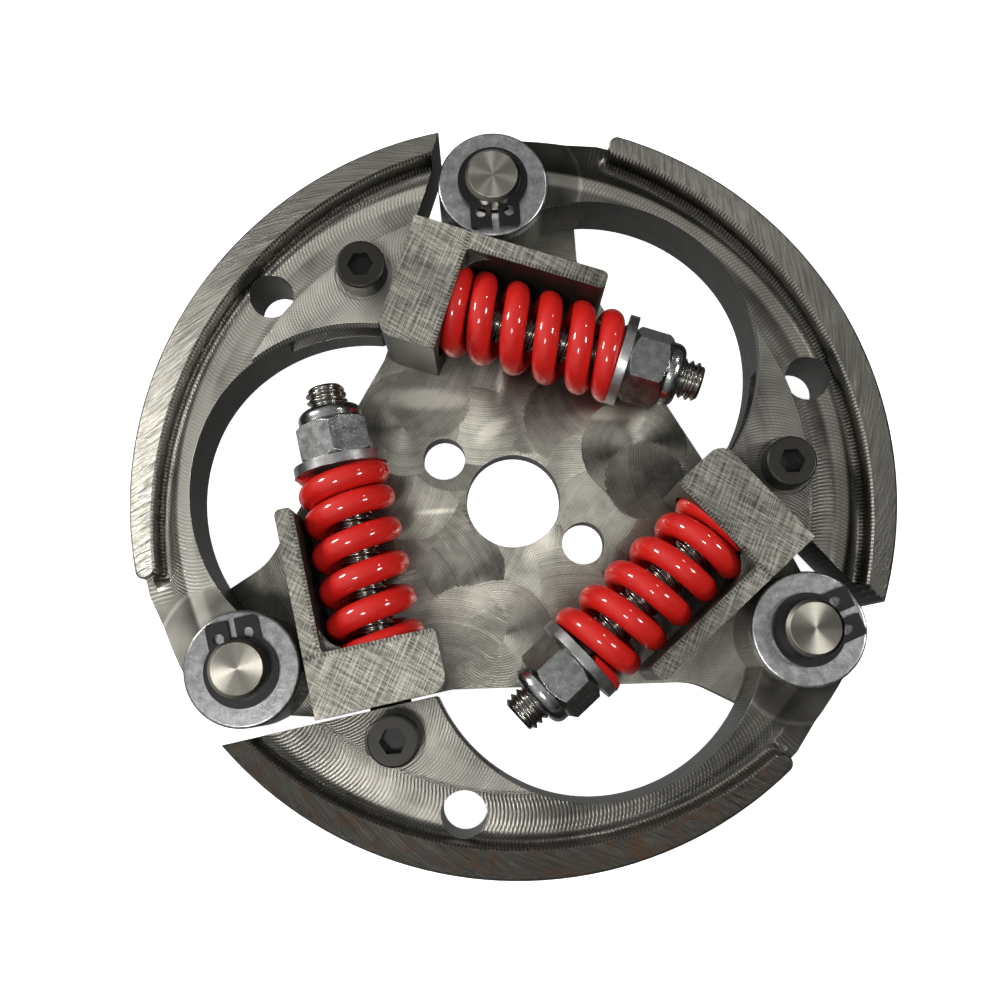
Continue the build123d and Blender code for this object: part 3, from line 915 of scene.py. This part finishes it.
    def paint(self, graph: Graph) -> None:
        """Arcs on the floors, ribs on the foot, brushing on the rim, walls painted dark as shade, and
        each shoe's painted light.

        Args:
            graph: the finish's empty tree.
        """
        turn = -UNIT_TURN * (self.number - 1)
        at = self.seen(graph, turn)
        up = graph.facing_up()
        on_rim = graph.ramp(at.height, RIM_TOP - 0.35, RIM_TOP - 0.25)
        marks = self.cutter_marks(graph, at)
        brushed, scribed, rim_slant = self.brushing(graph, at)
        cloud = graph.noise(at.local, 0.13, 2.0)
        floor_light = self.floor_light(graph, at, marks, cloud)
        rim_light = (0.5 + brushed * 0.55 + (cloud - 0.5) * 0.4) * (1.0 - scribed * self.scribing)
        # painted light: the rim lighter or darker along its length, by shoe
        shade = graph.ramp(at.angle, *self.painted_rim_light_angles, self.rim_painted_light_end, self.rim_painted_light_start)
        top = graph.grey(graph.mix(on_rim, floor_light, rim_light * shade), self.steel)
        top = self.stained(graph, at, on_rim, top)
        side, side_relief = self.walls(graph, at)
        graph.set(Base_Color=graph.tint(up, side, top), Metallic=1.0, Anisotropic=0.75)
        rough = graph.mix(on_rim, 0.28 + marks.fine * 0.14, 0.38)
        graph.set(Roughness=graph.mix(up, 0.38, rough))

        x, y, slant = at.x / at.away, at.y / at.away, marks.slant
        floor_groove = graph.vector(x * -1.0 - y * slant, y * -1.0 + x * slant)
        rim_groove = graph.vector(x - y * rim_slant, y + x * rim_slant)
        groove = graph.mix_vector(on_rim, floor_groove, rim_groove)
        graph.set(Tangent=graph.pointwise("NORMALIZE", graph.spun(groove, -turn), (0, 0, 0)))
        floor_relief = marks.arcs * 0.35 + marks.crossing * 0.25 + marks.fine * 0.4
        relief = graph.mix(up, side_relief, graph.mix(on_rim, floor_relief, brushed))
        graph.relief(relief, self.groove_depth, EDGE_ROUNDING)


@dataclass(frozen=True)
class TurnedSteel(Finish):
    """End face of a turned pin: rings about its axis."""

    centre: tuple[float, float] = (0.0, 0.0)
    steel: Colour = (0.45, 0.43, 0.37)
    pitch: float = 0.16

    def paint(self, graph: Graph) -> None:
        """Rings that catch the light in two fans.

        Args:
            graph: the finish's empty tree.
        """
        local = graph.mapped(0.0, (-self.centre[0], -self.centre[1], 0))
        x, y = local.part("X"), local.part("Y")
        away = graph.length(graph.vector(x, y))
        rings = graph.noise(graph.vector(away / self.pitch, 0.0), 1.0, 2.0, 0.6)
        cloud = graph.noise(local, 0.5, 2.0)
        graph.set(Base_Color=graph.grey(0.6 + rings * 0.5 + cloud * 0.2, self.steel))
        graph.set(Metallic=1.0, Roughness=0.28 + rings * 0.1, Anisotropic=0.85)
        graph.set(Tangent=graph.pointwise("NORMALIZE", graph.vector(y * -1.0, x), (0, 0, 0)))
        graph.relief(rings, 0.01, 0.1)


@dataclass(frozen=True)
class Plated(Finish):
    """Zinc plate on a pressed or forged piece."""

    colour: Colour = (0.62, 0.63, 0.65)
    rough: float = 0.3
    mottle: float = 0.25
    dent: float = 0.02

    def paint(self, graph: Graph) -> None:
        """Cloudy zinc with fine dents and scuffs.

        Args:
            graph: the finish's empty tree.
        """
        cloud = graph.noise(graph.place, 0.7, 4.0, 0.65)
        dents = graph.noise(graph.place, 2.2, 3.0, 0.6)
        scuffs = graph.ramp(graph.noise(graph.place, 5.0, 2.0), 0.62, 0.7)
        scratched = graph.noise(graph.vector(dents * 3.0, graph.place.part("Z") * 0.3), 2.0, 2.0)
        light = 1.0 - self.mottle * 0.6 + (cloud - 0.5) * self.mottle * 2.6 - scuffs * 0.12
        light = light + (graph.ramp(scratched, 0.55, 0.62) - 0.3) * self.mottle * 0.5
        graph.set(Base_Color=graph.grey(light, self.colour), Metallic=1.0)
        graph.set(Roughness=self.rough + cloud * 0.15 + scuffs * 0.1)
        graph.relief(cloud * 0.5 + dents * 0.5, self.dent * 3, 0.15)


@dataclass(frozen=True)
class Oxide(Finish):
    """Black oxide or phosphate, a little lighter and browner on faces that look up, above a height."""

    colour: Colour = (0.03, 0.03, 0.03)
    lighter_face: Colour = (0.035, 0.033, 0.027)
    lighter_from: float = 100.0
    rough: float = 0.34

    def paint(self, graph: Graph) -> None:
        """Dark coat, a little lighter on faces that look up above a height.

        Args:
            graph: the finish's empty tree.
        """
        cloud = graph.noise(graph.place, 1.2, 3.0)
        height = graph.place.part("Z")
        up = graph.facing_up() * graph.ramp(height, self.lighter_from - 0.2, self.lighter_from)
        lighter_face = up * (0.65 + cloud * 0.35)
        graph.set(Base_Color=graph.tint(lighter_face, self.colour, self.lighter_face), Metallic=0.6)
        graph.set(Roughness=self.rough + cloud * 0.12)
        graph.relief(graph.noise(graph.place, 6.0, 2.0), 0.01, EDGE_ROUNDING)


@dataclass(frozen=True)
class BrightSteel(Finish):
    """Rolled and oiled steel of the studs."""

    colour: Colour = (0.4, 0.39, 0.36)

    def paint(self, graph: Graph) -> None:
        """Dark shiny steel with oil in the thread.

        Args:
            graph: the finish's empty tree.
        """
        cloud = graph.noise(graph.place, 0.9, 3.0)
        graph.set(Base_Color=graph.grey(0.5 + cloud * 0.8, self.colour), Metallic=1.0)
        graph.set(Roughness=0.16 + cloud * 0.15)
        graph.relief(graph.noise(graph.place, 4.0, 2.0), 0.01)


@dataclass(frozen=True)
class GlossyCoat(Finish):
    """Thick glossy coat over spring wire."""

    colour: Colour = (0.70, 0.016, 0.011)
    shade: Colour = (0.52, 0.008, 0.007)

    def paint(self, graph: Graph) -> None:
        """Red coat with a slight orange-peel.

        Args:
            graph: the finish's empty tree.
        """
        cloud = graph.noise(graph.place, 0.25, 2.0)
        graph.set(Base_Color=graph.tint(cloud * 0.5, self.colour, self.shade))
        graph.set(Roughness=0.5, Specular_IOR_Level=0.2, Coat_Weight=1.0, Coat_Roughness=0.05)
        peel = graph.noise(graph.place, 0.9, 2.0)
        graph.relief(peel, 0.05)


@dataclass(frozen=True)
class Nylon(Finish):
    """Natural nylon."""

    colour: Colour = (0.7, 0.71, 0.68)

    def paint(self, graph: Graph) -> None:
        """Pale plastic with a soft sheen.

        Args:
            graph: the finish's empty tree.
        """
        cloud = graph.noise(graph.place, 1.0, 2.0)
        graph.set(Base_Color=graph.grey(0.85 + cloud * 0.25, self.colour), Roughness=0.4)
        graph.relief(cloud, 0.01)


def grid_faces(rows: int, columns: int, closed: bool = False) -> list[list[int]]:
    """Faces of a surface on a grid whose columns run round and meet.

    Args:
        rows: points along the surface.
        columns: points round it.
        closed: the rows run round and meet too, as on a ring. Otherwise each end gets a cap.

    Returns:
        Lists of point numbers. The faces look outwards where the columns run clockwise about
        the direction of the rows, and inwards where they run the other way.
    """
    bands = rows if closed else rows - 1
    row, column = np.meshgrid(np.arange(bands), np.arange(columns), indexing="ij")
    after, aside = (row + 1) % rows, (column + 1) % columns
    corners = [after * columns + column, after * columns + aside]
    corners += [row * columns + aside, row * columns + column]
    faces = np.stack(corners, axis=-1).reshape(-1, 4).tolist()
    if not closed:
        faces.append(list(range(columns)))
        faces.append(list(range((rows - 1) * columns, rows * columns))[::-1])
    return faces


def smooth_mesh(name: str, points: np.ndarray, faces: list[list[int]]) -> bpy.types.Object:
    """A smooth-shaded piece at the origin.

    Args:
        name: the piece's name.
        points: its points in mm.
        faces: its faces, as lists of point numbers.

    Returns:
        The new object, linked to the scene.
    """
    mesh = bpy.data.meshes.new(name)
    mesh.from_pydata((points * MM).tolist(), [], faces)
    mesh.polygons.foreach_set("use_smooth", np.ones(len(mesh.polygons), bool))
    mesh.update()
    piece = bpy.data.objects.new(name, mesh)
    bpy.context.scene.collection.objects.link(piece)
    return piece


@dataclass
class StudAxis:
    """The line of one stud: distances along it, and turns about it from straight up."""

    steps: int

    @property
    def angle(self) -> float:
        """The stud's direction seen from above."""
        return STUD_ANGLE + UNIT_TURN * self.steps

    def axes(self) -> tuple[np.ndarray, np.ndarray, np.ndarray]:
        """The stud's own axes.

        Returns:
            The way along the stud, the way outward across it, and up.
        """
        along = np.array([cos(self.angle), sin(self.angle), 0.0])
        outward = np.array([-sin(self.angle), cos(self.angle), 0.0])
        return along, outward, np.array([0.0, 0.0, 1.0])

    def place(self, distance: np.ndarray, radius: np.ndarray, turn: np.ndarray) -> np.ndarray:
        """Points round the stud.

        Args:
            distance: along the stud from the foot of the bore axis.
            radius: from the stud's axis.
            turn: about the axis, 0 at the top and then towards the bore.

        Returns:
            Points in mm, foot + distance * along + radius * (cos turn * up - sin turn * outward).
        """
        along, outward, up = self.axes()
        foot = STUD_OFFSET * outward + STUD_Z * up
        spokes = np.cos(turn)[..., None] * up - np.sin(turn)[..., None] * outward
        return foot + distance[..., None] * along + radius[..., None] * spokes


@dataclass(frozen=True)
class SpringStand:
    """How a spring happens to stand: all in turns, counted from its tip in the block."""

    first_band: float
    turns: float
    closed_at_seat: float
    closed_at_washer: float


@dataclass
class CoilSpring:
    """Compression spring with closed ground ends, seated in its block."""

    number: int
    stand: SpringStand
    seat: float = -17.6
    washer: float = 8.6
    coil_radius: float = 5.0
    wire_radius: float = 1.8
    closed_pitch: float = 3.75
    tip_sink: float = 0.9
    opening: float = 0.35
    steps_per_turn: int = 72
    steps_round: int = 28
    travel: float = 3.06

    def line(self) -> tuple[np.ndarray, np.ndarray]:
        """The wire's line.

        Returns:
            The turns so far, and the distance along the stud: the pitch is the closed one
            near both ends and opens smoothly between them, so that the ends meet the faces.
        """
        stand = self.stand
        count = int(stand.turns * self.steps_per_turn) + 1
        turn = np.linspace(0.0, stand.turns, count)
        after_seat = np.clip((turn - stand.closed_at_seat) / self.opening + 0.5, 0, 1)
        before_washer = stand.turns - turn - stand.closed_at_washer
        before_washer = np.clip(before_washer / self.opening + 0.5, 0, 1)
        opened = np.minimum(after_seat, before_washer)
        opened = opened * opened * (3 - 2 * opened)
        step = turn[1] - turn[0]
        length = self.washer - self.seat + 2 * self.tip_sink
        middle = (opened[1:] + opened[:-1]) / 2
        extra = (length - self.closed_pitch * stand.turns) / (middle.sum() * step)
        rise = np.concatenate([[0.0], np.cumsum((self.closed_pitch + extra * middle) * step)])
        return turn, self.seat - self.tip_sink + rise

    def build(self) -> bpy.types.Object:
        """The wire carried along its line, its ends ground flat on the two faces.

        Returns:
            The spring: the point at (turn, round) is the line's point plus the wire's
            radius times (cos round * outward + sin round * binormal), with its distance
            along the stud held between the faces.
        """
        turn, distance = self.line()
        angle = (turn - self.stand.first_band) * tau
        round_angle = np.linspace(0, tau, self.steps_round, endpoint=False)
        slope = np.gradient(distance, angle)
        reach = np.sqrt(self.coil_radius**2 + slope**2)
        radius = self.coil_radius + self.wire_radius * np.cos(round_angle)[None, :]
        radius = np.repeat(radius, len(turn), axis=0)
        lean = self.wire_radius * np.sin(round_angle)[None, :]
        along = distance[:, None] + lean * (self.coil_radius / reach)[:, None]
        back = -lean * (slope / reach)[:, None] / self.coil_radius
        along = np.clip(along, self.seat, self.washer)
        axis = StudAxis(self.number)
        points = axis.place(along, radius, angle[:, None] + back)
        faces = grid_faces(*radius.shape)
        piece = smooth_mesh(f"coil_spring_{self.number}", points.reshape(-1, 3), faces)
        GlossyCoat("spring_red").dress(piece)
        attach(piece, "carrier")
        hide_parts(f"spring_{self.number}")
        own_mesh(piece)
        return piece


@dataclass
class ThreadedStud:
    """Stud with a rolled thread, a flat neck and an eye round the shoe's screw."""

    number: int
    start: float = -24.7
    end: float = 21.2
    crest: float = 2.94
    root: float = 2.42
    pitch: float = 1.0
    chamfer: float = 0.7
    steps_round: int = 40
    steps_per_pitch: int = 8
    eye_distance: float = 30.1
    eye_radius: float = 4.35
    eye_hole: float = 2.05
    eye_thickness: float = 3.7
    eye_edge: float = 0.4
    eye_steps: int = 64
    neck_reach: float = 3.2
    neck_overlap: float = 0.05
    neck_sides: int = 32

    def rod(self, axis: StudAxis) -> tuple[np.ndarray, list[list[int]]]:
        """The threaded rod.

        Args:
            axis: the line of the stud.

        Returns:
            Points and faces. The radius is the root plus the thread's height times a
            rounded triangle wave of distance / pitch - turn, cut back to a cone at the end.
        """
        count = int((self.end - self.start) * self.steps_per_pitch / self.pitch)
        distance = np.linspace(self.start, self.end, count)[:, None]
        turn = np.linspace(0, tau, self.steps_round, endpoint=False)[None, :]
        wave = (distance / self.pitch + turn / tau) % 1.0
        flank = np.clip(np.abs(wave - 0.5) * 3.0 - 0.25, 0, 1)
        radius = self.root + (self.crest - self.root) * flank
        cone = self.crest - self.chamfer + np.minimum(self.end - distance, self.chamfer)
        radius = np.minimum(radius, cone)
        points = axis.place(np.broadcast_to(distance, radius.shape), radius, turn + 0 * radius)
        return points.reshape(-1, 3), grid_faces(*radius.shape)

    def eye(self, axis: StudAxis) -> tuple[np.ndarray, list[list[int]]]:
        """The eye: a flat ring round the screw with rounded edges.

        Args:
            axis: the line of the stud.

        Returns:
            Points and faces of a rounded section carried round the screw.
        """
        along, outward, up = axis.axes()
        centre = STUD_OFFSET * outward + STUD_Z * up - self.eye_distance * along
        half, edge = self.eye_thickness / 2, self.eye_edge
        section = np.array([
            (self.eye_hole, half - edge), (self.eye_hole + edge, half),
            (self.eye_radius - edge, half), (self.eye_radius, half - edge),
            (self.eye_radius, edge - half), (self.eye_radius - edge, -half),
            (self.eye_hole + edge, -half), (self.eye_hole, edge - half),
        ])
        turn = np.linspace(0, tau, self.eye_steps, endpoint=False)
        spokes = np.cos(turn)[:, None] * along + np.sin(turn)[:, None] * outward
        points = centre + section[None, :, :1] * spokes[:, None, :] + section[None, :, 1:] * up
        return points.reshape(-1, 3), grid_faces(len(turn), len(section), closed=True)

    def neck(self, axis: StudAxis) -> tuple[np.ndarray, list[list[int]]]:
        """The neck between eye and thread: the round rod with two flats, as thick as the eye.

        Args:
            axis: the line of the stud.

        Returns:
            Points and faces. The radius is the crest's, or the half thickness over
            |cos turn| where that is less.
        """
        turn = np.linspace(0, tau, self.neck_sides, endpoint=False)[None, :]
        inside_eye = self.neck_reach - self.eye_distance
        distance = np.array([inside_eye, self.start + self.neck_overlap])[:, None]
        steep = np.maximum(np.abs(np.cos(turn)), 1e-6)
        flat = np.minimum(self.crest, self.eye_thickness / 2 / steep)
        radius = np.repeat(flat, 2, axis=0)
        points = axis.place(distance + 0 * flat, radius, turn + 0 * distance)
        return points.reshape(-1, 3), grid_faces(2, self.neck_sides)

    def build(self) -> bpy.types.Object:
        """Rod, neck and eye as one piece.

        Returns:
            The stud, which stands for the plain one and rides with its body.
        """
        axis = StudAxis(self.number)
        points, faces, base = [], [], 0
        for group_points, group_faces in (self.rod(axis), self.eye(axis), self.neck(axis)):
            points.append(group_points)
            faces += [[corner + base for corner in face] for face in group_faces]
            base += len(group_points)
        piece = smooth_mesh(f"threaded_stud_{self.number}", np.concatenate(points), faces)
        BrightSteel("stud_steel").dress(piece)
        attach(piece, f"stud_{self.number}")
        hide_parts(f"eye_stud_{self.number}")
        return piece


@dataclass
class Clutch:
    """All pieces of the clutch, in the order they go on."""

    # each shoe's painted light and shade: rims and floors lighter or darker, walls and foot darker
    shoe_finishes: tuple[MilledShoe, ...] = (
        MilledShoe(
            "shoe_steel", 1, rim_painted_light_start=0.95, rim_painted_light_end=0.38, floor_painted_light=0.75, painted_ribbon=1.0,
            foot_painted_shade=0.2, wall_painted_shade=0.8, scribing=0.1, stain=0.15,
        ),
        MilledShoe(
            "shoe_steel", 2, rim_painted_light_start=0.17, rim_painted_light_end=0.2, floor_painted_light=0.9, painted_ribbon=0.1,
            foot_painted_shade=0.6, wall_painted_shade=2.4, scribing=0.0, stain=0.6,
        ),
        MilledShoe(
            "shoe_steel", 3, rim_painted_light_start=2.7, rim_painted_light_end=0.7, floor_painted_light=3.1, painted_ribbon=0.3,
            foot_painted_shade=0.3, wall_painted_shade=1.2, scribing=0.5, stain=0.0,
        ),
    )
    # painted light: each pivot washer's zinc lighter or darker by unit
    washer_zinc: tuple[float, ...] = (0.8, 0.78, 0.5)
    spring_stands: tuple[SpringStand, ...] = (
        SpringStand(first_band=0.13, turns=6.09, closed_at_seat=1.08, closed_at_washer=0.96),
        SpringStand(first_band=0.35, turns=6.15, closed_at_seat=0.4, closed_at_washer=1.8),
        SpringStand(first_band=0.64, turns=6.33, closed_at_seat=1.5, closed_at_washer=1.25),
    )
    screw_top: float = WEB_TOP + 3.7
    nut: Plated = Plated("nut_zinc", (0.66, 0.68, 0.66), 0.15, 0.4, 0.012)
    spring_washer: Plated = Plated("washer_zinc", (0.62, 0.62, 0.61), 0.28, 0.3, 0.015)
    circlip: Oxide = Oxide("circlip_black", (0.022, 0.022, 0.024), (0.05, 0.05, 0.05))

    def build(self) -> None:
        """Dress the plate, the shoes, the pivots and the three stud sets."""
        nodes = frame["nodes"]
        MilledPlate("plate_steel").dress(nodes["carrier_plate"])
        for number in range(1, UNIT_COUNT + 1):
            self.build_pivot(nodes, number)
            self.build_stud_set(nodes, number)

    def build_pivot(self, nodes: dict, number: int) -> None:
        """One shoe with what holds it on its pivot.

        Args:
            nodes: the solids by name.
            number: the unit, 1 at the top and on clockwise.
        """
        self.shoe_finishes[number - 1].dress(nodes[f"shoe_{number}"])
        pin = turned(0.0, PIVOT_RADIUS, UNIT_TURN * (number - 1))
        TurnedSteel("pin_steel", pin).dress(nodes[f"pivot_pin_{number}"])
        # painted light: this unit's washer made lighter or darker
        zinc_with_painted_light = self.washer_zinc[number - 1]
        washer = Plated("washer_zinc", (zinc_with_painted_light, zinc_with_painted_light, zinc_with_painted_light), 0.24, 0.45, 0.012)
        washer.dress(nodes[f"pivot_washer_{number}"])
        self.circlip.dress(nodes[f"circlip_{number}"])

    def build_stud_set(self, nodes: dict, number: int) -> None:
        """The screw in the shoe, and the stud, spring, washer and nut that it holds.

        Args:
            nodes: the solids by name.
            number: the unit whose shoe the screw is in.
        """
        Oxide("screw_black", lighter_from=self.screw_top).dress(nodes[f"cap_screw_{number}"])
        self.nut.dress(nodes[f"lock_nut_{number}"])
        self.spring_washer.dress(nodes[f"spring_washer_{number}"])
        Nylon("nylon").dress(nodes[f"nylon_insert_{number}"])
        CoilSpring(number, self.spring_stands[number - 1]).build()
        ThreadedStud(number).build()


class Lamp(Enum):
    """The lamps: place in metres, width, power, and how much blue is left in the light."""

    RIGHT = ((0.38, -0.01, 0.38), 0.10, 0.9, 1.0)
    RIGHT_BACK = ((0.34, 0.31, 0.40), 0.05, 0.25, 1.0)
    OVERHEAD = ((-0.10, -0.15, 0.42), 0.08, 0.55, 0.98)
    LEFT = ((-0.44, 0.24, 0.26), 0.12, 1.6, 0.96)

    def __init__(self, place: Point, width: float, power: float, blue: float) -> None:
        """Name the lamp's values.

        Args:
            place: where it stands, in metres.
            width: side of its square, in metres.
            power: in watts.
            blue: share of blue in its light, 1 for white.
        """
        self.place = place
        self.width = width
        self.power = power
        self.blue = blue

    def stand(self) -> None:
        """Add the lamp, which looks at the clutch."""
        data = bpy.data.lights.new(self.name.lower(), "AREA")
        data.size = self.width
        data.energy = self.power
        data.color = (1.0, (1.0 + self.blue) / 2, self.blue)
        lamp = bpy.data.objects.new(self.name.lower(), data)
        lamp.location = self.place
        lamp.rotation_euler = (-Vector(self.place)).to_track_quat("-Z", "Y").to_euler()
        bpy.context.scene.collection.objects.link(lamp)


@dataclass
class Studio:
    """Camera, floor, lamps and room.

    The floor is a sheet of lit paper: it glows a little, so that it stays pale under the
    clutch, and it neither lights nor mirrors in the steel.
    """

    place: Point = (-5.135, -26.978, 175.735)
    aim: Point = (-1.922, 0.840, 0.0)
    roll: float = 2.60046
    lens: float = 41.907
    floor_reach: float = 1.5
    bend_radius: float = 1.0
    bend_steps: int = 16
    rim_width: float = 0.1
    floor_sides: int = 96
    floor_colour: Colour = (0.86, 0.86, 0.85)
    floor_glow: float = 0.95
    below: float = 0.12
    horizon: float = 0.12
    zenith: float = 0.36
    lean: float = 1.5

    def camera(self) -> None:
        """Camera above the clutch, a little towards the viewer."""
        data = bpy.data.cameras.new("camera")
        data.sensor_width = 36.0
        data.lens = self.lens
        data.clip_start = 0.01
        camera = bpy.data.objects.new("camera", data)
        bpy.context.scene.collection.objects.link(camera)
        place = Vector(self.place)
        back = (place - Vector(self.aim)).normalized()
        right = Vector((0, 0, 1)).cross(back).normalized()
        axes = Matrix((right, back.cross(right), back)).transposed()
        twist = Matrix.Rotation(radians(self.roll), 3, "Z")
        camera.matrix_world = Matrix.Translation(place * MM) @ (axes @ twist).to_4x4()
        bpy.context.scene.camera = camera

    def floor(self) -> None:
        """Plain pale floor that bends up into a dome, seen only from inside.

        The point at (step, turn) is (radius cos turn, radius sin turn, height): level out to
        the bend, then a quarter circle up, then a quarter circle in over the clutch.
        """
        bend = np.linspace(0.0, pi / 2, self.bend_steps)
        over = bend[1:-1]
        outside = self.floor_reach + self.bend_radius
        radius = self.floor_reach + self.bend_radius * np.sin(bend)
        radius = np.concatenate([[self.floor_reach - self.rim_width], radius, outside * np.cos(over)])
        height = self.bend_radius * (1.0 - np.cos(bend))
        height = np.concatenate([[0.0], height, self.bend_radius + outside * np.sin(over)])
        turn = np.linspace(0, tau, self.floor_sides, endpoint=False)
        ring = np.stack([np.cos(turn), np.sin(turn), 0 * turn], axis=-1)
        up = np.array([0.0, 0.0, 1.0])
        points = radius[:, None, None] * ring[None, :, :] + height[:, None, None] * up
        faces = grid_faces(len(radius), self.floor_sides)
        floor = smooth_mesh("studio_floor", points.reshape(-1, 3) / MM, faces)
        floor.data.materials.append(self.paper().material)
        floor.visible_glossy = False
        floor.visible_diffuse = False
        floor.visible_shadow = False

    def paper(self) -> Graph:
        """Glowing paper that is clear from behind, so that the underside can be seen.

        Returns:
            The paper's nodes.
        """
        graph = Graph("floor_paper")
        graph.set(Base_Color=(*self.floor_colour, 1.0), Roughness=0.9)
        graph.set(Emission_Color=(1.0, 1.0, 1.0, 1.0), Emission_Strength=self.floor_glow)
        behind = Wire(graph, graph.node("ShaderNodeNewGeometry", {}).outputs["Backfacing"])
        front = Wire(graph, graph.shader.outputs["BSDF"])
        clear = Wire(graph, graph.node("ShaderNodeBsdfTransparent", {}).outputs["BSDF"])
        sheet = graph.node("ShaderNodeMixShader", {0: behind, 1: front, 2: clear})
        graph.tree.links.new(sheet.outputs["Shader"], graph.output.inputs["Surface"])
        return graph

    def room(self) -> None:
        """A room that is darkest at the horizon and brighter to the left."""
        world = bpy.data.worlds.new("studio_room")
        world.use_nodes = True
        sky = Formulas(world.node_tree)
        way = Wire(sky, sky.node("ShaderNodeTexCoord", {}).outputs["Generated"])
        above = sky.ramp(way.part("Z"), 0.1, 0.95, self.horizon, self.zenith)
        under = sky.ramp(way.part("Z"), 0.0, -0.3, 0.0, self.below)
        factors = {0: above + under, 1: 1.0 - way.part("X") * self.lean}
        light = sky.node("ShaderNodeMath", factors, operation="MULTIPLY", use_clamp=True)
        strength = {"Strength": Wire(sky, light.outputs[0])}
        background = sky.node("ShaderNodeBackground", strength)
        sky.node("ShaderNodeOutputWorld", {"Surface": Wire(sky, background.outputs[0])})
        bpy.context.scene.world = world

    def build(self) -> None:
        """Set up the whole studio."""
        self.camera()
        self.floor()
        for lamp in Lamp:
            lamp.stand()
        self.room()
        bpy.context.scene.view_settings.view_transform = "Standard"
        log.info("studio ready")


def main() -> None:
    """Build the clutch and the studio."""
    logging.basicConfig(level=logging.INFO)
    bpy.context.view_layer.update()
    Clutch().build()
    Studio().build()


if __name__ == "__main__":
    main()
